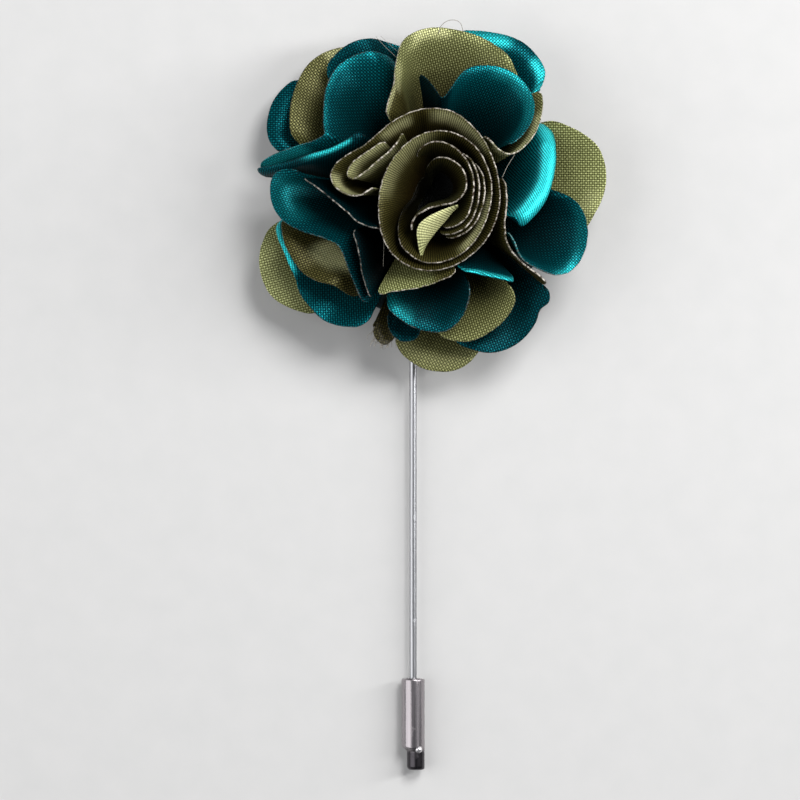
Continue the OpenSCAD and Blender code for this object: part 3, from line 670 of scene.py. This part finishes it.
def made(name, vertices, faces, uv=None, smooth=True):
    """A piece from vertices in millimetres. Its four-sided faces are smooth, and uv places the weave."""
    mesh = bpy.data.meshes.new(name)
    mesh.from_pydata((vertices.reshape(-1, 3) * MM).tolist(), [], faces)
    mesh.update()
    for polygon in mesh.polygons:
        polygon.use_smooth = smooth and len(polygon.vertices) == 4
    if uv is not None:
        layer = mesh.uv_layers.new(name="weave")
        loops = np.zeros(len(mesh.loops), int)
        mesh.loops.foreach_get("vertex_index", loops)
        layer.uv.foreach_set("vector", uv.reshape(-1, 2)[loops].astype(np.float32).ravel())
    return placed(name, mesh)


def paint(piece, label, values):
    """Stores a value at each vertex, for the materials to read."""
    layer = piece.data.attributes.new(label, "FLOAT", "POINT")
    layer.data.foreach_set("value", values.astype(np.float32))


def cloth(name):
    """A thin sheet with singed, beaded edges in place of a fold's solid, its flat shape and its area."""
    look, ribbon = LOOKS[name], is_ribbon(name)
    wall = RIBBON_WALL if ribbon else CLOTH_WALL
    points, to_rim, to_side, up, share, spots, turns = sheet_points(name, wall)
    singe = mix(*np.broadcast_to(look["singe"], 2), share)[:, None]
    thick = grid_normals(points) * half_thickness(name, to_rim, to_side, singe)[..., None]

    # The back's points are its own but for the border, which it shares with the front
    inner = np.zeros(to_rim.shape, bool)
    inner[1:-1, 1:-1] = True
    number = np.arange(inner.size).reshape(inner.shape)
    back_number = number.copy()
    back_number[inner] = inner.size + np.arange(inner.sum())
    front, back = [
        np.stack([n[:-1, :-1], n[1:, :-1], n[1:, 1:], n[:-1, 1:]], axis=-1).reshape(-1, 4)
        for n in (number, back_number)
    ]
    faces = np.concatenate([front, back[:, ::-1]]).tolist()
    vertices = np.concatenate([(points + thick).reshape(-1, 3), (points - thick)[inner]])

    if ribbon:
        flat = np.stack([np.repeat(spots[:, None], inner.shape[1], axis=1), to_rim], axis=-1)
    else:
        flat = unrolled(points)
    turn = math.radians(look["grain"])
    spin = np.array([[math.cos(turn), -math.sin(turn)], [math.sin(turn), math.cos(turn)]])
    uv = flat.reshape(-1, 2) @ spin.T
    uv = np.concatenate([uv, uv.reshape(flat.shape)[inner]])
    piece = made(f"{name}_sheet", vertices, faces, uv)

    # Painted light and shade: the low winding's dark, the stretches in shadow, the tone, the darkening down
    # towards the root (height) and the highlights (gleam)
    dim = np.interp(turns, *DIM)[:, None] if name == "rosette" else 1.0
    shaded = dim * np.interp(turns, *SHADED.get(name, ([0], [1])))[:, None]
    scorched = 1 - ease((to_rim - 0.02) / SCORCHED.get(name, SCORCH_W))
    for label, grid in (
        ("singed", dim * singe * scorched),
        ("height", np.clip(up, 0, 1) ** look["depth"]),
        ("ribbed", look["ribs"]),
        ("tone", shaded * mix(*np.broadcast_to(look["tone"], 2), share)[:, None]),
        ("gleam", gleam_on(name, turns, to_rim)),
    ):
        grid = np.broadcast_to(grid, inner.shape)
        paint(piece, label, np.concatenate([grid.reshape(-1), grid[inner]]))
    sides = np.cross(points[1:, 1:] - points[:-1, :-1], points[1:, :-1] - points[:-1, 1:])
    return piece, flat, float(np.linalg.norm(sides, axis=-1).sum() / 2)


class Tree:
    """A short way to write a material's nodes."""

    def __init__(self, name):
        self.material = bpy.data.materials.new(name)
        self.material.use_nodes = True
        self.nodes = self.material.node_tree.nodes
        self.links = self.material.node_tree.links
        self.shader = self.nodes["Principled BSDF"]

    def put(self, socket, value):
        if isinstance(value, bpy.types.NodeSocket):
            self.links.new(value, socket)
        else:
            socket.default_value = value

    def node(self, kind, inputs=(), out=0, **settings):
        added = self.nodes.new(kind)
        for key, value in settings.items():
            setattr(added, key, value)
        for key, value in dict(inputs).items():
            self.put(added.inputs[key], value)
        return added.outputs[out]

    def math(self, operation, *values):
        return self.node("ShaderNodeMath", enumerate(values), operation=operation)

    def times(self, a, b):
        return self.math("MULTIPLY", a, b)

    def line(self, x, slope, start):
        return self.math("MULTIPLY_ADD", x, slope, start)

    def blend(self, share, a, b, how="MIX"):
        return self.node("ShaderNodeMix", {0: share, 6: a, 7: b}, 2, data_type="RGBA", blend_type=how)

    def ranged(self, value, low, high, to_low=0.0, to_high=1.0):
        """The value's place between low and high, on the way from to_low to to_high."""
        return self.node("ShaderNodeMapRange", {0: value, 1: low, 2: high, 3: to_low, 4: to_high})

    def painted(self, label):
        """The values that paint stored."""
        return self.node("ShaderNodeAttribute", out=2, attribute_name=label)

    def grey(self, tone):
        return self.node("ShaderNodeCombineColor", {0: tone, 1: tone, 2: tone})

    def axes(self, vector):
        split = self.nodes.new("ShaderNodeSeparateXYZ")
        self.links.new(vector, split.inputs[0])
        return split.outputs

    def where(self):
        """The place on the piece, in metres."""
        return self.node("ShaderNodeTexCoord", out=3)

    def noise(self, scale, detail=2.0, vector=None):
        """Noise with the given number of grains to the metre, or to the vector's unit."""
        at = self.where() if vector is None else vector
        return self.node("ShaderNodeTexNoise", {"Scale": scale, "Detail": detail, "Vector": at})

    def bump(self, strength, distance, height):
        return self.node("ShaderNodeBump", {"Strength": strength, "Distance": distance, "Height": height})

    def shade(self, **inputs):
        for key, value in inputs.items():
            self.put(self.shader.inputs[key.replace("_", " ")], value)


def colour(*screen):
    """A linear colour from its screen values."""
    return tuple(((c / 255 + 0.055) / 1.055) ** 2.4 if c > 10 else c / 255 / 12.92 for c in screen) + (1,)


WHITE = (1.0, 1.0, 1.0, 1.0)
SINGED = (colour(62, 50, 42), colour(214, 207, 196))


def satin(name, thread, gap, bright, gleam_colour, shade, shadow_tint, metal, sheen):
    """Woven satin: crossing threads or ribs, with painted shade down in the folds, painted highlights and a
    pale, broken singed rim.

    The first four colours are those of the threads, of the gaps between them, of their crowns and of the
    painted highlights. The next two are painted shade: they multiply the colour at the root and where the
    painted tone is low.
    """
    t = Tree(name)

    def crown_of(x):
        return t.math("COSINE", t.times(t.math("SUBTRACT", t.math("FRACT", x), 0.5), math.pi))

    place = t.axes(t.node("ShaderNodeUVMap", uv_map="weave"))
    threads = [t.math("DIVIDE", place[k], THREAD_PITCH) for k in (0, 1)]
    crowns = [crown_of(x) for x in threads]
    weft_up = t.math("FLOORED_MODULO", t.math("ADD", *[t.math("FLOOR", x) for x in threads]), 2.0)
    warp_up = t.math("SUBTRACT", 1.0, weft_up)
    warp = t.times(crowns[0], t.line(crowns[1], 0.4, 0.6))
    weft = t.times(crowns[1], t.line(crowns[0], 0.4, 0.35))
    plain = t.math("ADD", t.times(warp, warp_up), t.times(weft, weft_up))
    rib = crown_of(t.math("DIVIDE", place[0], RIB_PITCH))
    rise = t.node("ShaderNodeMix", {0: t.painted("ribbed"), 2: plain, 3: rib})
    crown = t.line(rise, 0.8, t.times(t.noise(4500.0), 0.3))

    height, singed, tone, gleam = (t.painted(label) for label in ("height", "singed", "tone", "gleam"))
    weave = t.blend(t.ranged(crown, 0.25, 0.75), gap, thread)
    weave = t.blend(t.ranged(crown, 0.6, 0.95), weave, bright)
    # Random patches in the cloth, times the tone's painted light and shade
    patches_and_light = t.times(t.line(t.noise(160.0, 3.0), 0.4, 0.8), tone)
    weave = t.blend(1.0, weave, t.grey(patches_and_light), "MULTIPLY")
    # Painted shade: a warm, darker tint where the tone is low
    weave = t.blend(1.0, weave, t.blend(t.math("MINIMUM", tone, 1.0), shadow_tint, WHITE), "MULTIPLY")
    # Painted highlight: the gleam colour where the fold gleams
    weave = t.blend(t.times(gleam, t.ranged(crown, 0.35, 0.85, 0.2)), weave, gleam_colour)
    # Painted shade, darker down towards the root
    weave = t.blend(1.0, weave, t.blend(height, shade, WHITE), "MULTIPLY")
    rim = t.blend(t.ranged(t.noise(2600.0, 3.0), 0.4, 0.62), *SINGED)
    broken = t.ranged(t.noise(900.0, 3.0), 0.38, 0.54, 0.25)
    rough = t.line(singed, 0.3, t.line(rise, -0.08, 0.4))
    t.shade(Base_Color=t.blend(t.times(singed, broken), weave, rim), Roughness=rough)
    t.shade(Normal=t.bump(0.45, 0.00006, crown), Metallic=t.times(height, metal))
    t.shade(Tangent=t.node("ShaderNodeTangent", direction_type="UV_MAP", uv_map="weave"), Anisotropic=0.5)
    t.shade(Specular_IOR_Level=2 * sheen, Sheen_Weight=sheen, Sheen_Roughness=0.4, Sheen_Tint=bright)
    return t.material


def felt(name):
    """Pressed wool: matted fibres with a soft nap."""
    t = Tree(name)
    combing = {"Vector": t.where(), "Scale": (5200, 1500, 5200), "Rotation": (0, 0, 0.7)}
    hairs = t.noise(1.0, 4.0, t.node("ShaderNodeMapping", combing))
    matted = t.line(t.noise(700.0, 5.0), 0.6, t.times(hairs, 0.5))
    nap = t.ranged(matted, 0.38, 0.78)
    t.shade(Base_Color=t.blend(nap, colour(4, 11, 12), colour(40, 58, 60)), Roughness=0.95)
    t.shade(Normal=t.bump(0.7, 0.0001, nap), Specular_IOR_Level=0.1, Sheen_Weight=0.06, Sheen_Roughness=0.6)
    return t.material


def steel(name, base, rough, along, dark_from=None):
    """Drawn or plated metal with fine lines along its length and a few small marks, darker past a place."""
    t = Tree(name)
    lines = t.noise(1.0, 4.0, t.node("ShaderNodeMapping", {"Vector": t.where(), "Scale": along}))
    marks = t.ranged(t.noise(900.0, 3.0), 0.62, 0.75, 0.0, 0.25)
    metal = t.blend(1.0, base, t.grey(t.ranged(lines, 0.3, 0.7, 0.82, 1.08)), "MULTIPLY")
    if dark_from is not None:
        past = t.ranged(t.axes(t.where())[1], dark_from + 0.0004, dark_from - 0.0004)
        metal = t.blend(past, metal, t.blend(1.0, metal, (0.16, 0.16, 0.17, 1), "MULTIPLY"))
    t.shade(Base_Color=metal, Metallic=1.0, Normal=t.bump(0.25, 0.00003, lines))
    t.shade(Roughness=t.math("ADD", t.line(lines, 0.16, rough - 0.08), marks))
    return t.material


def twisted(name):
    """Grey sewing thread."""
    t = Tree(name)
    twist = t.noise(4000.0)
    t.shade(Base_Color=t.blend(twist, colour(96, 92, 84), colour(178, 172, 160)), Roughness=0.6)
    t.shade(Normal=t.bump(0.3, 0.00002, twist))
    return t.material


def paper(name):
    """The pale floor."""
    t = Tree(name)
    tint = t.blend(t.noise(240.0, 3.0), colour(200, 200, 199), colour(207, 206, 205))
    t.shade(Base_Color=tint, Roughness=0.75)
    return t.material


# Each satin's fourth colour is that of its painted highlights, and the next two are painted shade: at the
# root and where the tone is low.
MATERIALS = {
    TEAL: satin(
        "teal_satin", colour(0, 98, 105), colour(0, 42, 47), colour(24, 158, 166), colour(60, 246, 250),
        (0.02, 0.06, 0.06, 1), (0.7, 0.9, 1.0, 1), 0.6, 0.02,
    ),
    OLIVE: satin(
        "olive_satin", colour(124, 129, 79), colour(48, 49, 23), colour(182, 188, 131),
        colour(242, 243, 180), (0.1, 0.06, 0.03, 1), (0.85, 0.64, 0.32, 1), 0.25, 0.04,
    ),
    # The core's cloth is near black, partly as painted shade for the rosette's dark hollow and the gaps
    "core_cloth": satin(
        "core_cotton_in_shade", colour(8, 15, 14), colour(3, 6, 6), colour(16, 25, 24), colour(16, 25, 24),
        (0.6, 0.6, 0.6, 1), WHITE, 0.0, 0.02,
    ),
    "felt": felt("pressed_felt"),
    "wire_steel": steel("drawn_steel", colour(176, 177, 180), 0.3, (9000, 60, 9000)),
}


def dress(piece, slot, *nodes, material=None, body="flower"):
    """Gives a piece its material, picked by its slot unless one is given, and its body, and hides the
    solids that it stands for.
    """
    piece.data.materials.append(material or MATERIALS[slot])
    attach(piece, body)
    if nodes:
        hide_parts(*nodes)


def make_folds():
    for name, look in LOOKS.items():
        piece, flat, area = cloth(name)
        dress(piece, look["slot"], name)
        size = np.maximum(np.ptp(flat, axis=(0, 1)), LEAST_FLAT)
        area = float(np.clip(area, *(share * size.prod() for share in AREA_SHARES))) * MM * MM


def ring_faces(count, sides, start=0):
    """The faces of a closed surface through rings of points, numbered from start."""
    number = start + np.arange(count * sides).reshape(count, sides)
    following = np.roll(number, -1, axis=1)
    around = np.stack([number[:-1], following[:-1], following[1:], number[1:]], axis=-1).reshape(-1, 4)
    return around.tolist() + [number[0][::-1].tolist(), number[-1].tolist()]


def around(sides):
    return np.linspace(0, 2 * math.pi, sides, endpoint=False)


def turned(name, profile, sides=96, radius=None):
    """A surface round the pin's axis. profile is [distance down the pin, radius] rows."""
    down, r = np.array(profile, float).T[..., None]
    angle = around(sides)[None]
    r = r * np.ones_like(angle) if radius is None else radius(down, r * np.ones_like(angle), angle)
    x, y, z = WIRE_X + r * np.cos(angle), -down * np.ones_like(angle), WIRE_Z + r * np.sin(angle)
    return made(name, np.stack([x, y, z], axis=-1), ring_faces(*r.shape))


def standing(name, profile, centre=(0, 0), sides=160, wobble=None):
    """A surface round an upright axis. profile is [radius, height] rows from the bottom to the top."""
    angle = around(sides)[None]
    r, z = np.array(profile, float).T[..., None] * np.ones_like(angle)
    if wobble is not None:
        r, z = wobble(r, z)
    x, y = centre[0] + r * np.cos(angle), centre[1] + r * np.sin(angle)
    uv = np.stack([np.broadcast_to(angle * WEAVE_R, z.shape), z + r], axis=-1)
    return made(name, np.stack([x, y, z], axis=-1), ring_faces(*r.shape), uv)


def make_wire():
    """The wire, from its cut end to its point."""
    top, reach = wire_high[1] - BAR_W / 2, -wire_low[1]
    start, r = reach - POINT_L, WIRE_D / 2
    profile = [[-top, 0.02], [-top, 0.34], [-top + 0.14, r]]
    profile += [[y, r] for y in np.linspace(-top + 1, start, 60)]
    profile += [[start + POINT_L * s, mix(r, TIP_R, s)] for s in np.linspace(0.05, 0.97, 20)]
    profile += [[reach - 0.06, 0.085], [reach, 0.03]]
    dress(turned("pin_wire", profile), "wire_steel", "stick_pin")


def make_pad():
    """The round pad on the wire, under the core."""
    low, inner = WIRE_Z + WIRE_D / 2, PAD_R - PAD_BREAK
    high = low + PAD_T
    profile = [[0.05, low], [inner, low], [PAD_R, low + PAD_BREAK]]
    profile += [[PAD_R, high - PAD_BREAK], [inner, high], [0.05, high]]
    pad = standing("pin_pad", profile, centre=(WIRE_X, 0))
    dress(pad, "wire_steel", "stick_pin")


def make_bar():
    """The solder along the covered stretch of the wire, flat against the felt."""
    bar_from, bar_to = -wire_high[1], backing_high[0] + BAR_PAST
    down = np.linspace(bar_from, bar_to, 90)
    swell = 1 + 0.07 * wavy(np.random.default_rng(3), len(down), 9)
    taper = np.sqrt(np.clip(np.minimum(down - bar_from, bar_to - down) / 0.9, 0.01, 1))

    def flattened(down, r, angle):
        below = np.maximum(-np.sin(angle), 1e-3)
        return np.minimum(r, np.where(np.sin(angle) < 0, BAR_FLAT / below, r))

    profile = np.stack([down, BAR_W / 2 * 0.98 * swell * taper], axis=-1)
    bar = turned("solder_bar", profile, sides=48, radius=flattened)
    solder = steel("solder", colour(150, 151, 154), 0.42, (400, 400, 400))
    dress(bar, "wire_steel", "stick_pin", material=solder)


def make_cap():
    """The cap's tube with its bore, and the smaller grip that its end runs into."""
    mouth, end = -cap_high[1], -cap_low[1]
    tube_end = mouth + CAP_TUBE_L
    profile = [[tube_end - 0.5, 0.02], [tube_end - 0.5, BORE_R], [mouth + 0.16, BORE_R]]
    profile += [[mouth + 0.03, BORE_R + 0.08], [mouth, BORE_R + 0.2], [mouth, CAP_R - CAP_BREAK]]
    for a in np.linspace(0.2, 1.57, 7):
        broken = CAP_R - CAP_BREAK + CAP_BREAK * math.sin(a)
        profile.append([mouth + CAP_BREAK * (1 - math.cos(a)), broken])
    profile += [[y, CAP_R] for y in np.linspace(mouth + 0.4, tube_end - 0.3, 12)]
    profile += [[y, CAP_R] for y in np.linspace(tube_end - 0.25, end - 0.01, 64)]
    profile += [[end, 0.9]]

    def outline(down, r, angle):
        past = down - (tube_end - 0.25)
        wide = mix(GRIP_R + SHOULDER_L, GRIP_R, ease(past / SHOULDER_L))
        near_end = np.clip(1 - (end - down) / 0.5, 0, 1)
        wide = wide - 0.5 * (1 - np.sqrt(np.clip(1 - near_end ** 2, 0, 1)))
        offset = GRIP_SHIFT * np.cos(angle)
        grip = offset + np.sqrt(np.maximum(wide ** 2 - (GRIP_SHIFT * np.sin(angle)) ** 2, 0.01))
        joined = -np.log(np.exp(-GRIP_JOIN * r) + np.exp(-GRIP_JOIN * grip)) / GRIP_JOIN
        return np.where((past > 0) & (r > BORE_R + 0.3), np.minimum(joined, r), r)

    cap = turned("cap_shell", profile, sides=128, radius=outline)
    plated = steel("plated_steel", colour(164, 158, 161), 0.27, (5000, 90, 5000), -(tube_end + 0.3) * MM)
    dress(cap, "cap_steel", "pin_cap", material=plated, body="cap")

    foot = WIRE_Z + math.sqrt(CAP_R ** 2 - STUD_X ** 2) - 0.3
    arc = np.linspace(0, math.pi / 2 - 0.04, 16)
    profile = [[STUD_R, foot - 0.3]] + [[STUD_R * math.cos(a), foot + STUD_R * math.sin(a)] for a in arc]
    stud = standing("cap_stud", profile, centre=(WIRE_X + STUD_X, -(tube_end + 0.25)), sides=48)
    # The stud is a small dome; its steel is lighter than the cap's, a painted highlight for the bright spot
    # on the shoulder
    bright = steel("stud_steel_with_glint", colour(225, 222, 224), 0.35, (900, 900, 900))
    dress(stud, "cap_steel", "pin_cap", material=bright, body="cap")


def make_core():
    """The sewn core, gathered round its side."""
    rng = np.random.default_rng(11)
    turns = around(160)
    gathers = [rng.uniform(0.5, 1) * np.sin(k * turns + rng.uniform(0, 6.3)) for k in (9, 14, 23, 31)]
    gathers = sum(gathers)[None] / 3

    def gathered(r, z):
        return r * (1 + 0.022 * gathers), z + 0.1 * gathers * (z > FOOT_Z)

    felt_top, top_z = backing_high[2], CORE_TOP_Z - ROOT_GAP
    foot_r, top_r = CORE_FOOT_R - ROOT_GAP, CORE_TOP_R - ROOT_GAP
    profile = [[0.05, felt_top], [foot_r + 0.5, felt_top]]
    profile += [[foot_r + 1.0, felt_top + 0.3], [foot_r + 0.9, felt_top + 0.9]]
    profile += [[mix(foot_r + 0.2, top_r, s), mix(FOOT_Z, top_z - 0.4, s)] for s in np.linspace(0, 1, 14)]
    profile += [[top_r - 0.5, top_z - 0.12], [top_r - 1.5, top_z - 0.1], [2.6, top_z - 0.5]]
    profile += [[1.2, top_z - 1.4], [0.05, top_z - 1.7]]
    gather = standing("core_gather", profile, wobble=gathered)
    heights = np.array([v.co.z for v in gather.data.vertices]) / MM
    # Painted shade: the core is dark at its top, in the rosette's hollow, and lighter down its side
    paint(gather, "tone", mix(2.6, 0.3, ease((heights - 2) / 7)))
    dress(gather, "core_cloth", "core")


def make_backing():
    """The felt disc, with a slightly uneven edge."""
    rough = [wavy(np.random.default_rng(k), 160, 21)[None] for k in (1, 2)]
    edge, top = backing_high[0], backing_high[2]

    def woolly(r, z):
        return r * (1 + 0.004 * rough[0] * (r > 9)), z + 0.02 * rough[1] * (z > 0.5)

    profile = [[0.05, 0], [edge - 4, 0], [edge - 0.3, 0], [edge - 0.08, 0.1], [edge, 0.4]]
    profile += [[edge - 0.02, top - 0.35], [edge - 0.12, top - 0.1], [edge - 0.35, top - 0.03]]
    profile += [[edge - 4, top - 0.02], [0.05, top - 0.02]]
    dress(standing("backing_felt", profile, wobble=woolly), "felt", "backing")


def strand(points, radius, sides=7):
    """Rings of a thin thread along a smooth line through a few points."""
    rows = np.array(points, float)
    line = through(rows, between(rows, 10))
    ahead = unit(np.gradient(line, axis=0))
    side = unit(np.cross(ahead, np.array([0.31, 0.17, 0.93])))
    other = np.cross(ahead, side)
    angle = around(sides)[:, None]
    thin = np.full(len(line), radius)
    thin[[0, -1]] *= 0.4
    ring = side[:, None] * np.cos(angle) + other[:, None] * np.sin(angle)
    return line[:, None] + thin[:, None, None] * ring


def make_threads():
    """Loose sewing threads and the frayed end, as the photo shows them."""
    rings = [strand(points, radius) for radius, points in THREADS]
    rng = np.random.default_rng(29)
    rows = fold_lines("frayed_tip")
    for _ in range(HAIRS):
        fold = through(rows, np.array([rng.uniform(0.1, len(rows) - 1.1)]))
        root, tip = on_folds(fold, np.array([[0.93, 1.0]]))[0]
        out = unit(tip - root) + rng.normal(0, 0.35, 3)
        reach = rng.uniform(0.35, 0.95)
        bow = rng.normal(0, 0.12, 3)
        rings.append(strand([root, tip, tip + out * reach / 2 + bow, tip + out * reach], HAIR_R))
    faces, start = [], 0
    for ring in rings:
        faces += ring_faces(*ring.shape[:2], start)
        start += ring[..., 0].size
    vertices = np.concatenate([ring.reshape(-1, 3) for ring in rings])
    threads = made("stray_threads", vertices, faces, smooth=False)
    dress(threads, "core_cloth", material=twisted("grey_thread"))


def make_floor():
    corners = np.array([(-1, -1, 0), (1, -1, 0), (1, 1, 0), (-1, 1, 0)]) * FLOOR_HALF
    floor = made("floor", corners, [(0, 1, 2, 3)], smooth=False)
    floor.data.materials.append(paper("pale_floor"))


def make_camera():
    """A long lens straight above, with the photo's view."""
    camera = placed("camera", bpy.data.cameras.new("camera"))
    camera.data.lens, camera.data.sensor_width = LENS, SENSOR
    camera.location = (VIEW_X * MM, VIEW_Y * MM, (FOCUS_Z + VIEW_WIDTH * LENS / SENSOR) * MM)
    camera.data.clip_start, camera.data.clip_end = 0.05, 10.0
    bpy.context.scene.camera = camera


def make_lights():
    for name, place, aim, size, power in LIGHTS:
        lamp = bpy.data.lights.new(name, "AREA")
        lamp.shape, lamp.size, lamp.size_y = "RECTANGLE", size[0], size[1]
        lamp.energy = power
        light = placed(name, lamp)
        light.location = place
        light.rotation_euler = (Vector(aim) - Vector(place)).to_track_quat("-Z", "Y").to_euler()
    world = bpy.data.worlds.new("studio")
    world.use_nodes = True
    background = world.node_tree.nodes["Background"].inputs
    background["Color"].default_value = SKY_COLOUR
    background["Strength"].default_value = SKY_STRENGTH
    scene = bpy.context.scene
    scene.world = world
    scene.view_settings.view_transform = "Standard"


make_core()
make_backing()
make_folds()
make_threads()
make_wire()
make_pad()
make_bar()
make_cap()
make_floor()
make_camera()
make_lights()
